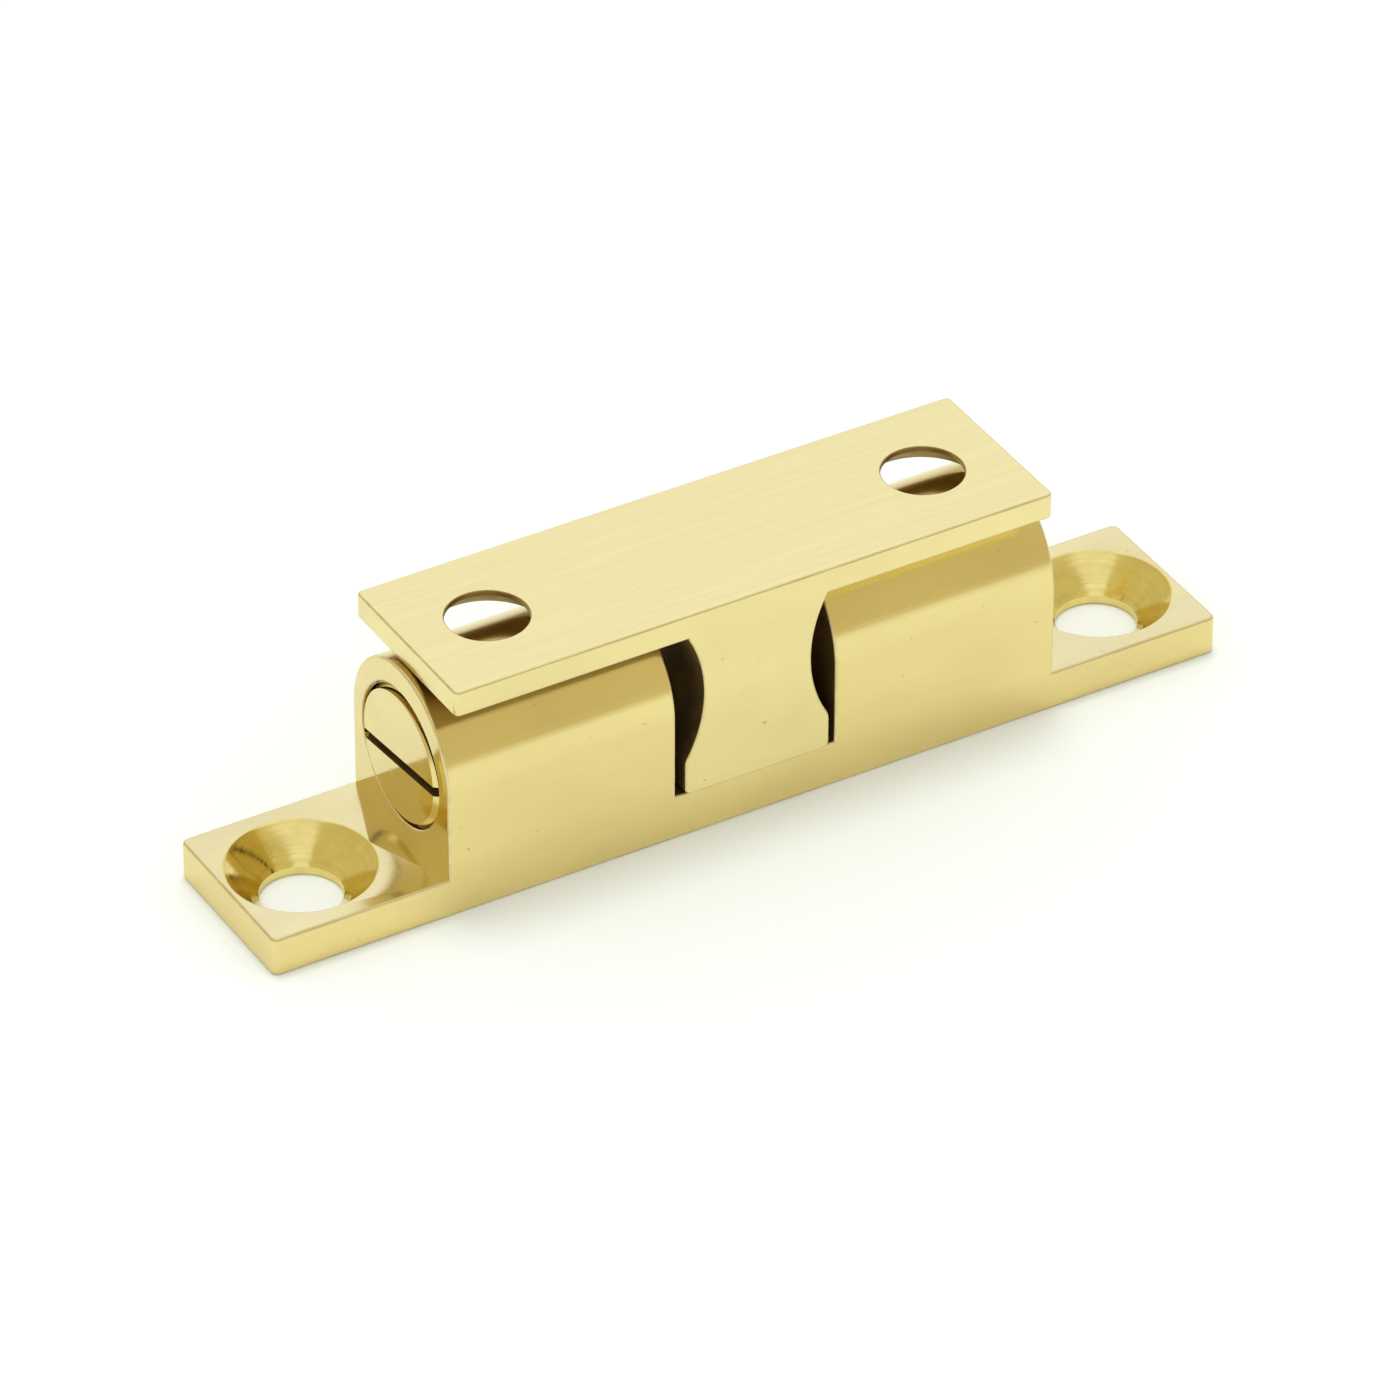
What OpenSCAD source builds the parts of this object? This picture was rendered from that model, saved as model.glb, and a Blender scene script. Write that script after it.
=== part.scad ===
// Double ball catch for a cupboard door, in brass.
// A bar with a round-topped block carries two sprung balls, which face each other across a slot.
// The striker's waisted tongue drops into the slot, and the balls snap into its grooves.
// The catch stands on its mounting face at z = 0, with its length along X and the slot across Y.

/* [Balls and bores] */
// Diameter of each ball
ball_d = 6.35; // [5:0.05:8]
// Clearance between a ball and its bore, on the diameter
ball_clearance = 0.15; // [0.05:0.05:0.4]
// Gap between a ball at rest and the groove of the tongue
ball_gap = 0.1; // [0.05:0.05:0.3]
// Gap between a ball at rest and the lip that keeps it in the bore
seat_gap = 0.03; // [0.01:0.01:0.1]
// Point angle of the drill that leaves the lip at the slot
drill_angle = 118; // [90:1:140]
// Depth of the thread that is tapped at the outer end of each bore
thread_depth = 0.275; // [0.15:0.025:0.5]

/* [Body] */
// Wall beside the tapped end of a bore
side_wall = 0.9; // [0.6:0.05:2]
// Wall above the tapped end of a bore
crown_wall = 1.225; // [1:0.025:2.5]
// Metal below the tapped end of a bore
bore_floor = 2.675; // [2.3:0.025:4]
// Length of each foot, from the block to its end
foot_length = 9; // [8:0.1:14]
// Thickness of each foot
foot_thickness = 2; // [1.6:0.1:3]

/* [Foot holes] */
// Distance from the block to the middle of a foot's hole
foot_hole_offset = 5.2; // [4:0.1:5.4]
// Diameter of a foot's screw hole
foot_hole_d = 3.9; // [3:0.1:5]
// Diameter of a foot's countersink at the top
foot_countersink_d = 7; // [5.5:0.1:7.8]
// Included angle of the countersinks
countersink_angle = 90; // [80:1:100]

/* [Tongue and slot] */
// Width of the tongue at its nose
nose_width = 7.6; // [6.5:0.05:10]
// Round at each corner of the tongue's tip
tip_round = 0.35; // [0.1:0.05:0.8]
// Round where each side of the nose turns into its groove
nose_round = 1; // [0.6:0.1:2]
// Depth of each groove in the tongue's sides
groove_depth = 0.98; // [0.8:0.01:1.4]
// Radius of the grooves
groove_radius = 6.8; // [6:0.1:9]
// Height of the tongue's waist above the middle of the balls
groove_rise = 1.5; // [1:0.05:1.8]
// Gap between the nose and each wall of the slot
slot_gap = 0.4; // [0.15:0.01:0.6]
// Height of the slot's floor above the mounting face
slot_floor = 2.35; // [2:0.05:3]

/* [Striker plate] */
// Thickness of the plate
plate_thickness = 1.3; // [1.2:0.05:2.5]
// Overhang of the plate past each side of the body
plate_overhang = 0.175; // [0:0.025:1]
// Gap between the plate and the crest of the block
plate_gap = 0.05; // [0.05:0.05:1]
// Distance between the plate's two screw holes
striker_hole_spacing = 22.9; // [18:0.1:40]
// Distance from a hole's middle to the end of the plate
plate_end = 4.2; // [3.5:0.1:8]
// Diameter of a plate's screw hole
striker_hole_d = 3.9; // [3:0.1:5]
// Diameter of a plate's countersink on the side of the tongue
striker_countersink_d = 6; // [5.2:0.1:6.5]

/* [Springs] */
// Diameter of the spring wire
wire_d = 0.5; // [0.3:0.05:0.6]
// Mean diameter of the coil
coil_d = 4.6; // [3.6:0.1:4.8]
// Number of turns
spring_turns = 4; // [3:0.5:5]
// Length of a spring as fitted
spring_length = 4.365; // [3.6:0.005:7]
// Gap at each end of a spring
spring_gap = 0.05; // [0.01:0.01:0.2]

/* [Adjusting screws] */
// Length of an adjusting screw
screw_length = 2.9; // [2:0.1:5]
// Height by which an adjusting screw's face stands out from the end of the block
screw_proud = 0.1; // [0:0.05:0.5]
// Chamfer on an adjusting screw's face
screw_chamfer = 0.2; // [0.1:0.05:0.6]
// Radial clearance of an adjusting screw in its thread
screw_clearance = 0.05; // [0.02:0.01:0.1]
// Pitch of the thread
thread_pitch = 0.75; // [0.5:0.05:1]
// Turns by which an adjusting screw can be driven in
adjusting_turns = 1; // [0.5:0.5:2]
// Width of the screwdriver slot
driver_slot_w = 0.5; // [0.4:0.05:1]
// Depth of the screwdriver slot
driver_slot_depth = 0.9; // [0.5:0.05:1.4]
// Distance of the screwdriver slot below the middle of the screw
driver_slot_drop = 0.3; // [0:0.05:1]
// Angle of the screwdriver slot from level
driver_slot_tilt = 6; // [-90:1:90]

/* [Hidden] */
$fn = 96;
LEFT = -1;
RIGHT = 1;
// Length by which a cutting shape runs past the face that it opens
past = 1;
// Overlap of a groove with the round of the nose, where they meet at a soft edge
nose_blend = 0.01;

// Bores, and the block around them
ball_r = ball_d / 2;
bore_r = (ball_d + ball_clearance) / 2;
thread_r = bore_r + thread_depth;
body_width = 2 * (thread_r + side_wall);
ball_height = bore_floor + thread_r;
crest_height = ball_height + thread_r + crown_wall;
arch_r = body_width / 2;
arch_height = crest_height - arch_r;

// Slot and tongue: each groove is an arc that runs into the round on the side of the nose
nose_half = nose_width / 2;
slot_half = nose_half + slot_gap;
groove_centre = [nose_half - groove_depth + groove_radius, ball_height + groove_rise];
nose_to_groove = groove_radius + nose_round - nose_blend;
nose_inset = groove_centre[0] - nose_half + nose_round;
nose_drop = sqrt(pow(nose_to_groove, 2) - pow(nose_inset, 2));
nose_centre = [nose_half - nose_round, groove_centre[1] - nose_drop];
tip_centre = [nose_half - tip_round, slot_floor + tip_round];
plate_bottom = crest_height + plate_gap;
plate_top = plate_bottom + plate_thickness;
plate_width = body_width + 2 * plate_overhang;
plate_length = striker_hole_spacing + 2 * plate_end;
plate_middle = plate_bottom + plate_thickness / 2;

// Places along a bore, from the slot outwards
ball_to_groove = groove_radius - ball_r - ball_gap;
ball_x = groove_centre[0] - sqrt(pow(ball_to_groove, 2) - pow(groove_rise, 2));
mouth_r = sqrt(pow(ball_r + seat_gap, 2) - pow(ball_x - slot_half, 2));
lip_end = slot_half + (bore_r - mouth_r) / tan(drill_angle / 2);
wire_to_ball = ball_r + wire_d / 2 + spring_gap;
first_coil = ball_x + sqrt(pow(wire_to_ball, 2) - pow(coil_d / 2, 2));
last_coil = first_coil + spring_length - wire_d;
screw_inner = last_coil + wire_d / 2 + spring_gap;
screw_outer = screw_inner + screw_length;
block_half = screw_outer - screw_proud;
thread_start = screw_inner - thread_pitch * (adjusting_turns + 1);
body_length = 2 * (block_half + foot_length);
screw_r = thread_r - screw_clearance;

// Spring: closed end turns, and open turns between them
wire_sides = 8;
steps_per_turn = 20;
end_turns = 0.75;
end_pitch = wire_d * 1.04;
open_pitch = (last_coil - first_coil - 2 * end_turns * end_pitch) / (spring_turns - 2 * end_turns);
coil_steps = round(spring_turns * steps_per_turn);

// Distance along the spring after a number of turns
function coil_advance(turn) =
    end_pitch * min(turn, end_turns)
    + open_pitch * max(0, min(turn, spring_turns - end_turns) - end_turns)
    + end_pitch * max(0, turn - spring_turns + end_turns);

// Point on the surface of the wire, at a step along the coil and an angle round the wire
function wire_point(step, angle) =
    let (
        turn = step / steps_per_turn,
        radius = (coil_d + wire_d * cos(angle)) / 2
    )
    [
        first_coil + coil_advance(turn) + wire_d / 2 * sin(angle),
        radius * cos(360 * turn),
        radius * sin(360 * turn)
    ];

// Turns a shape that is made on the right to either side
module on_side(side) {
    rotate([0, 0, side == RIGHT ? 0 : 180])
        children();
}

// Solid of revolution about the line of the bores, from a profile of [radius, distance from the middle]
module bored(profile) {
    translate([0, 0, ball_height])
        rotate([0, 90, 0])
            rotate_extrude()
                polygon(profile);
}

// Screw hole from z = 0 upwards, with its countersink open at the top
module countersunk_hole(hole_d, countersink_d, depth) {
    countersink_depth = (countersink_d - hole_d) / 2 / tan(countersink_angle / 2);
    translate([0, 0, -past])
        cylinder(h = depth + 2 * past, d = hole_d);
    translate([0, 0, depth - countersink_depth])
        cylinder(h = countersink_depth, d1 = hole_d, d2 = countersink_d);
    translate([0, 0, depth])
        cylinder(h = past, d = countersink_d);
}

module arch_profile() {
    translate([-arch_r, 0])
        square([body_width, arch_height]);
    translate([0, arch_height])
        circle(r = arch_r);
}

// Bore for one ball, its spring and its screw, with the lip that the drill's point leaves at the slot
module ball_bore() {
    bored([
        [0, slot_half - past],
        [mouth_r, slot_half - past],
        [mouth_r, slot_half],
        [bore_r, lip_end],
        [bore_r, thread_start],
        [thread_r, thread_start + thread_depth],
        [thread_r, block_half + past],
        [0, block_half + past]
    ]);
}

module body() {
    color([0.86, 0.74, 0.42])
        difference() {
            union() {
                translate([-body_length / 2, -body_width / 2, 0])
                    cube([body_length, body_width, foot_thickness]);
                translate([-block_half, 0, 0])
                    rotate([90, 0, 90])
                        linear_extrude(2 * block_half)
                            arch_profile();
            }
            translate([-slot_half, -body_width / 2 - past, slot_floor])
                cube([2 * slot_half, body_width + 2 * past, crest_height]);
            for (side = [LEFT, RIGHT]) {
                on_side(side)
                    ball_bore();
                translate([side * (block_half + foot_hole_offset), 0, 0])
                    countersunk_hole(foot_hole_d, foot_countersink_d, foot_thickness);
            }
        }
}

// Outline of the waisted tongue, seen from the front
module tongue_profile() {
    flip = [[-1, 0], [0, 1]];
    right_half = [
        [tip_centre[0], slot_floor],
        [nose_half, tip_centre[1]],
        [nose_half, nose_centre[1]],
        nose_centre,
        groove_centre,
        [nose_half, plate_middle]
    ];
    left_half = [for (k = [len(right_half) - 1 : -1 : 0]) flip * right_half[k]];
    difference() {
        union() {
            polygon(concat(right_half, left_half));
            for (centre = [nose_centre, flip * nose_centre])
                translate(centre)
                    circle(r = nose_round);
            for (centre = [tip_centre, flip * tip_centre])
                translate(centre)
                    circle(r = tip_round);
        }
        for (centre = [groove_centre, flip * groove_centre])
            translate(centre)
                circle(r = groove_radius);
    }
}

module striker() {
    color([0.90, 0.80, 0.52])
        difference() {
            translate([0, plate_width / 2, 0])
                rotate([90, 0, 0])
                    linear_extrude(plate_width)
                        union() {
                            tongue_profile();
                            translate([-plate_length / 2, plate_bottom])
                                square([plate_length, plate_thickness]);
                        }
            for (side = [LEFT, RIGHT])
                translate([side * striker_hole_spacing / 2, 0, plate_top])
                    mirror([0, 0, 1])
                        countersunk_hole(striker_hole_d, striker_countersink_d, plate_thickness);
        }
}

module ball(side) {
    color([0.80, 0.81, 0.83])
        translate([side * ball_x, 0, ball_height])
            sphere(d = ball_d);
}

// Coil of wire, swept as one closed tube
module spring(side) {
    rings = [
        for (step = [0 : coil_steps], k = [0 : wire_sides - 1])
            wire_point(step, 360 * k / wire_sides)
    ];
    walls = [
        for (step = [0 : coil_steps - 1], k = [0 : wire_sides - 1])
            let (
                next = (k + 1) % wire_sides,
                here = step * wire_sides,
                there = here + wire_sides
            )
            [here + k, there + k, there + next, here + next]
    ];
    first_end = [for (k = [0 : wire_sides - 1]) k];
    last_end = [for (k = [wire_sides - 1 : -1 : 0]) coil_steps * wire_sides + k];
    color([0.62, 0.63, 0.66])
        translate([0, 0, ball_height])
            on_side(side)
                polyhedron(points = rings, faces = concat(walls, [first_end, last_end]));
}

module adjusting_screw(side) {
    color([0.84, 0.71, 0.40])
        on_side(side)
            difference() {
                bored([
                    [0, screw_inner],
                    [screw_r - screw_chamfer, screw_inner],
                    [screw_r, screw_inner + screw_chamfer],
                    [screw_r, screw_outer - screw_chamfer],
                    [screw_r - screw_chamfer, screw_outer],
                    [0, screw_outer]
                ]);
                translate([screw_outer - driver_slot_depth, 0, ball_height])
                    rotate([driver_slot_tilt, 0, 0])
                        translate([0, -thread_r - past, -driver_slot_drop - driver_slot_w / 2])
                            cube([driver_slot_depth + past, 2 * (thread_r + past), driver_slot_w]);
            }
}

body();
striker();
ball(LEFT);  // left_ball
ball(RIGHT);  // right_ball
spring(LEFT);  // left_spring
spring(RIGHT);  // right_spring
adjusting_screw(LEFT);  // left_adjusting_screw
adjusting_screw(RIGHT);  // right_adjusting_screw
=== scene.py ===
"""Looks of a brass double ball catch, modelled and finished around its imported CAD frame.

The file is laid out as an add-on: property groups hold the sizes, colours and studio settings,
one operator makes each group of pieces, and main() runs the operators in order.
"""

import math

import bmesh
import bpy
from bpy.props import FloatProperty, FloatVectorProperty, PointerProperty
from mathutils import Matrix, Vector


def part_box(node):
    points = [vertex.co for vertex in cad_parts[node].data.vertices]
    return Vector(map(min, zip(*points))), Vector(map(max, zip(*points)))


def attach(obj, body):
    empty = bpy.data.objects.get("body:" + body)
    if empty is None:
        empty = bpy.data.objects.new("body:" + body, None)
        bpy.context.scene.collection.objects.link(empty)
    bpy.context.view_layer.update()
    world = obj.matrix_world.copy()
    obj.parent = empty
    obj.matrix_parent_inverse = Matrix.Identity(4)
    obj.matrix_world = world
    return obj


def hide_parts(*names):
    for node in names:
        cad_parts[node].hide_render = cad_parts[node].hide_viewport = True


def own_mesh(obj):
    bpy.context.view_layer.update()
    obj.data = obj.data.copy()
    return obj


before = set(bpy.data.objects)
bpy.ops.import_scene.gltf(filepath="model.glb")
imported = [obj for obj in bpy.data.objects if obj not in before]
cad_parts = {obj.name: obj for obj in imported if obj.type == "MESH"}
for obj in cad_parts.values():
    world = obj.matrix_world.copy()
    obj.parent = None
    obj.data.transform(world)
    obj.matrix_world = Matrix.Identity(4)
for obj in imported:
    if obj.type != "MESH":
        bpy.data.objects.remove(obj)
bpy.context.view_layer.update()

bl_info = {
    "name": "Double Ball Catch",
    "version": (1, 0, 0),
    "blender": (4, 5, 0),
    "location": "3D View > Sidebar > Ball Catch",
    "description": "Models and finishes a brass double ball catch around its CAD frame",
    "category": "Object",
}

MM = 1e-3
MICRON = 1e-6
X_AXIS = Vector((1, 0, 0))
Y_AXIS = Vector((0, 1, 0))
Z_AXIS = Vector((0, 0, 1))
WHITE = (1, 1, 1, 1)

# The left-hand pieces are the right-hand ones, turned half round
AS_MADE = Matrix.Identity(4)
HALF_TURN = Matrix.Rotation(math.pi, 4, "Z")
TURNS = {"left": HALF_TURN, "right": AS_MADE}

# Boxes of the CAD nodes at rest, from which the main sizes come
BODY_LOW, BODY_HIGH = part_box("body")
STRIKER_LOW, STRIKER_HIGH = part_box("striker")
BALL_LOW, BALL_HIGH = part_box("right_ball")
SPRING_LOW, SPRING_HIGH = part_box("right_spring")
SCREW_LOW, SCREW_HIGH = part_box("right_adjusting_screw")
BORE_AXIS = (BALL_LOW + BALL_HIGH) / 2 * Z_AXIS

# How finely curves are divided
ARCH_STEPS = 64
ROUND_STEPS = 96
SPRING_STEPS = 48
WIRE_SIDES = 16
EDGE_SEGMENTS = 3
CORNER_SEGMENTS = 5
NOSE_STEPS = 8
GROOVE_STEPS = 32
BALL_SUBDIVISIONS = 6
RIM_ANGLES = tuple(math.radians(angle) for angle in (90, 60, 30, 0))

# How closely points, faces and edges are told apart
MERGE = 1e-7
NEAR = 1e-6
SHARP = math.radians(30)
SQUARE = 0.99
SAME_WAY = 1 - 1e-4

# Between which values most of a noise lies
NOISE_LOW, NOISE_HIGH = 0.3, 0.7

# Where a thread's root ends, its crest starts and its crest ends, as shares of the pitch
ROOT_END, CREST_START, CREST_END = 0.125, 0.45, 0.675


def length(name, description, millimetres):
    """A length property whose default is given in millimetres."""
    return FloatProperty(
        name=name, description=description, default=millimetres * MM, unit="LENGTH", precision=6
    )


def colour(name, description, rgb):
    """A colour property, in linear light."""
    return FloatVectorProperty(
        name=name, description=description, default=rgb, size=3, subtype="COLOR", min=0, max=1
    )


class BodySizes(bpy.types.PropertyGroup):
    """Sizes of the brass body that its box doesn't give."""

    foot_thickness: length("Foot thickness", "Height of each foot", 2.0)
    block_half: length("Block half-length", "From the middle to each end face of the block", 16.0)
    slot_half: length("Slot half-width", "From the middle to each wall of the slot", 4.2)
    slot_floor: length("Slot floor", "Height of the slot's floor", 2.35)
    hole_x: length("Foot hole place", "From the middle to each foot's hole", 21.2)
    hole_radius: length("Foot hole radius", "Radius of each foot's hole", 1.95)
    sink_radius: length("Countersink radius", "Radius of a foot's countersink at the top", 3.5)
    mouth_radius: length("Mouth radius", "Radius of a bore where it opens into the slot", 2.302)
    lip_end: length("Lip end", "From the middle to the end of the bore's lip", 4.77)
    # How far below the crest the painted shade under the striker's plate reaches
    rubbed: length("Painted shade height", "Height of the rubbed crest under the striker", 0.6)
    edge: length("Edge round", "Round on the outer edges", 0.13)
    corner: length("Corner round", "Round on the upright corners of the feet", 0.35)
    rim: length("Rim round", "Round on the rims of the holes", 0.06)


class ThreadSizes(bpy.types.PropertyGroup):
    """Sizes of the tapped bores and of the screws that fit them."""

    bore_radius: length("Bore radius", "Radius of a plain bore and of the tapped thread's crests", 3.25)
    thread_radius: length("Thread radius", "Radius of the tapped thread's roots", 3.525)
    thread_start: length("Thread start", "From the middle to the first turn of the thread", 11.7)
    pitch: length("Pitch", "Pitch of the thread", 0.75)
    clearance: length("Clearance", "Radial clearance of a screw in its thread", 0.05)
    lead_in: length("Lead-in", "Chamfer at the outer end of a tapped bore", 0.06)
    chamfer: length("Screw chamfer", "Chamfer on each end of a screw", 0.2)
    driver_width: length("Driver slot width", "Width of a screw's driver slot", 0.5)
    driver_depth: length("Driver slot depth", "Depth of a screw's driver slot", 0.9)
    driver_drop: length("Driver slot drop", "Distance of a driver slot below the screw's middle", 0.3)
    driver_tilt: FloatProperty(
        name="Driver slot tilt", description="Angle of the driver slots from level",
        default=math.radians(6), subtype="ANGLE",
    )


class StrikerSizes(bpy.types.PropertyGroup):
    """Sizes of the brass striker that its box doesn't give."""

    plate_thickness: length("Plate thickness", "Thickness of the striker's plate", 1.3)
    nose_half: length("Nose half-width", "Half of the tongue's width at its nose", 3.8)
    nose_round: length("Nose round", "Round where the nose's sides turn into the grooves", 1.0)
    tip_round: length("Tip round", "Round at the corners of the tongue's tip", 0.35)
    groove_x: length("Groove centre place", "From the middle to each groove's centre", 9.62)
    groove_z: length("Groove centre height", "Height of each groove's centre", 7.7)
    groove_radius: length("Groove radius", "Radius of the grooves in the tongue's sides", 6.8)
    hole_x: length("Plate hole place", "From the middle to each hole of the plate", 11.45)
    hole_radius: length("Plate hole radius", "Radius of the plate's holes", 1.95)
    sink_radius: length("Countersink radius", "Radius of the countersinks under the plate", 3.0)
    edge: length("Edge round", "Round on the outer edges", 0.1)
    corner: length("Corner round", "Round on the upright corners of the plate", 0.28)
    rim: length("Rim round", "Round on the rims of the holes", 0.05)


class SpringSizes(bpy.types.PropertyGroup):
    """Sizes of the springs and how far they are pressed."""

    wire_radius: length("Wire radius", "Radius of the spring wire", 0.25)
    coil_radius: length("Coil radius", "From the middle of the coil to the middle of the wire", 2.3)
    end_pitch: length("End pitch", "Pitch of the closed turns at each end", 0.52)
    press: length("Press", "How far a ball presses its spring at its limit", 1.0)
    advance: length("Advance", "How far a screw presses its spring at its limit", 0.75)
    turns: FloatProperty(name="Turns", description="Number of turns", default=4.0)
    end_turns: FloatProperty(
        name="End turns", description="Closed turns at each end", default=0.75
    )


class FinishColours(bpy.types.PropertyGroup):
    """Colours of the metals."""

    satin: colour("Satin brass", "Sides of the body", (0.84, 0.695, 0.305))
    # The tops' paler colours are partly the brushed and milled finish's own tone and partly a painted
    # sheen, as the bright light above gives
    brushed: colour("Brushed brass with painted sheen", "Top of the striker", (0.92, 0.83, 0.455))
    feet: colour("Foot brass with painted sheen", "Tops of the feet", (0.87, 0.78, 0.45))
    striker: colour("Striker brass", "Sides of the striker", (0.85, 0.73, 0.35))
    polished: colour("Polished brass", "Ends of the block and faces of the screws", (0.81, 0.68, 0.32))
    turned: colour("Turned brass", "Countersinks", (0.88, 0.74, 0.27))
    edge: colour("Edge brass", "Rounded edges", (0.80, 0.68, 0.36))
    # Painted shade: the walls of the striker's holes are darkened in their colour
    hole_shade: colour("Painted hole shade", "Holes of the striker", (0.50, 0.36, 0.13))
    # Painted shade: the crest under the striker's plate is darkened in its colour
    rubbed: colour("Painted crest shade", "Crest of the block, below the striker", (0.42, 0.25, 0.08))
    # Painted shade for the slot's walls, the tongue's grooves, the bores and the driver slots;
    # elsewhere only a darker tone for random cloudy patches and wear
    cut: colour("Dull brass and painted shade", "Walls of the slots and bores", (0.36, 0.245, 0.10))
    tarnish: colour("Tarnish", "Specks and cloudy patches", (0.30, 0.21, 0.08))
    ball: colour("Ball steel", "Polished balls", (0.72, 0.73, 0.75))
    ball_haze: colour("Ball haze", "Duller patches on the balls", (0.55, 0.56, 0.58))
    wire: colour("Spring steel", "Drawn spring wire", (0.50, 0.51, 0.54))
    wire_scale: colour("Wire scale", "Dark patches on the spring wire", (0.22, 0.21, 0.22))


class StudioSettings(bpy.types.PropertyGroup):
    """Camera, light and floor."""

    camera_place: FloatVectorProperty(
        name="Camera place", description="Where the camera stands",
        default=(-0.18851, -0.31887, 0.27004), subtype="TRANSLATION", unit="LENGTH",
    )
    camera_turn: FloatVectorProperty(
        name="Camera turn", description="How the camera is turned",
        default=tuple(math.radians(angle) for angle in (54.262, -0.180, -30.415)), subtype="EULER",
    )
    lens: FloatProperty(
        name="Lens", description="Focal length of the camera", default=256.0, unit="CAMERA"
    )
    key_strength: FloatProperty(
        name="Key strength", description="Strength of the soft light above", default=0.86
    )
    key_spread: FloatProperty(
        name="Key spread", description="Angle that the soft light spreads over",
        default=math.radians(20), subtype="ANGLE",
    )
    fill_light: FloatProperty(
        name="Surroundings", description="Strength of the light from all round", default=0.88
    )
    room: colour("Room", "Colour of the dimmer room in front and on the left", (0.70, 0.63, 0.40))
    floor: colour("Floor", "Colour of the floor", (0.90, 0.94, 0.89))


# Meshes


def chain(bm, points):
    """Joins points by edges, in order, and gives the vertices and the edges."""
    verts = [bm.verts.new(point) for point in points]
    return verts + [bm.edges.new(pair) for pair in zip(verts, verts[1:])]


def faces_since(bm, before):
    """The faces that weren't there before."""
    return [face for face in bm.faces if face not in before]


def verts_of(faces):
    """The vertices of some faces, each once."""
    return list(dict.fromkeys(vert for face in faces for vert in face.verts))


def turned(bm, profile, origin, axis, across):
    """Turns a profile of (distance along the axis, radius) and gives its faces and its two rims."""
    outline = chain(bm, [origin + axis * along + across * radius for along, radius in profile])
    before = set(bm.faces)
    bmesh.ops.spin(
        bm, geom=outline, cent=origin, axis=axis, angle=2 * math.pi, steps=ROUND_STEPS, use_merge=True
    )
    faces = faces_since(bm, before)
    first, last = (rim_at(faces, origin, axis, profile[end][0]) for end in (0, -1))
    return faces, first, last


def rim_at(faces, origin, axis, along):
    """The open edges of some faces, at a distance along an axis."""
    def is_there(vert):
        return abs((vert.co - origin).dot(axis) - along) < MERGE

    edges = dict.fromkeys(edge for face in faces for edge in face.edges if edge.is_boundary)
    return [edge for edge in edges if all(is_there(vert) for vert in edge.verts)]


def rounded_rim(top, radius, rim):
    """Profile points of a small round, from a flat top down into a hole of that radius."""
    return [
        (top - rim * (1 - math.sin(angle)), radius + rim * (1 - math.cos(angle)))
        for angle in RIM_ANGLES
    ]


def pierced(bm, face, rims):
    """Opens a flat face and fills it again round the rims of the holes in it."""
    normal = face.normal.copy()
    zone = face.material_index
    edges = list(face.edges) + [edge for rim in rims for edge in rim]
    bmesh.ops.delete(bm, geom=[face], context="FACES_ONLY")
    filled = bmesh.ops.triangle_fill(bm, use_beauty=True, edges=edges, normal=normal)["geom"]
    paint([item for item in filled if isinstance(item, bmesh.types.BMFace)], zone)


def paint(faces, zone):
    """Gives faces their zone, which is the place of their finish in the piece's list."""
    for face in faces:
        face.material_index = zone


def face_at(bm, point, normal):
    """The flat face with that normal whose plane and outline hold a point."""
    point, normal = Vector(point), Vector(normal)
    for face in bm.faces:
        if face.normal.dot(normal) > SAME_WAY:
            distance = abs((point - face.calc_center_bounds()).dot(normal))
            if distance < MERGE and bmesh.geometry.intersect_face_point(face, point):
                return face
    raise ValueError(f"no flat face at {tuple(point)}")


def arc(bm, vert, centre, angle, steps):
    """Draws an arc of edges in the XZ plane from a point and gives its last point."""
    spun = bmesh.ops.spin(bm, geom=[vert], cent=centre, axis=Y_AXIS, angle=angle, steps=steps)
    return next(item for item in spun["geom_last"] if isinstance(item, bmesh.types.BMVert))


def line(bm, vert, points):
    """Draws straight edges from a point through others and gives the last point."""
    for x, z in points:
        following = bm.verts.new((x, vert.co.y, z))
        bm.edges.new((vert, following))
        vert = following
    return vert


def sawn_off(bm, width):
    """Mirrors half an outline, fills it and extrudes it through the width of the bar."""
    bmesh.ops.mirror(bm, geom=bm.verts[:] + bm.edges[:], axis="X", merge_dist=MERGE)
    bmesh.ops.dissolve_verts(bm, verts=[vert for vert in bm.verts if abs(vert.co.x) < MERGE])
    bmesh.ops.contextual_create(bm, geom=bm.edges[:])
    sides = bmesh.ops.extrude_face_region(bm, geom=bm.faces[:], use_keep_orig=True)["geom"]
    moved = [item for item in sides if isinstance(item, bmesh.types.BMVert)]
    bmesh.ops.translate(bm, verts=moved, vec=Y_AXIS * width)
    bmesh.ops.recalc_face_normals(bm, faces=bm.faces[:])


def rounded(bm, edges, width, segments=EDGE_SEGMENTS):
    """Rounds some edges and gives the faces of the rounds."""
    return bmesh.ops.bevel(
        bm, geom=edges, offset=width, offset_type="OFFSET", affect="EDGES",
        segments=segments, profile=0.5, material=-1, clamp_overlap=True,
    )["faces"]


def outer_edges(bm):
    """The edges where two faces meet at a sharp outer corner."""
    return [edge for edge in bm.edges if edge.is_manifold and edge.calc_face_angle_signed() > SHARP]


def corners(bm, half_length):
    """The upright edges at the ends of a bar of that half-length."""
    def is_upright_end(edge):
        low, high = (vert.co for vert in edge.verts)
        return min(abs(low.x), abs(high.x)) > half_length - MERGE and abs(low.z - high.z) > MERGE

    return [edge for edge in bm.edges if is_upright_end(edge)]


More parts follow.
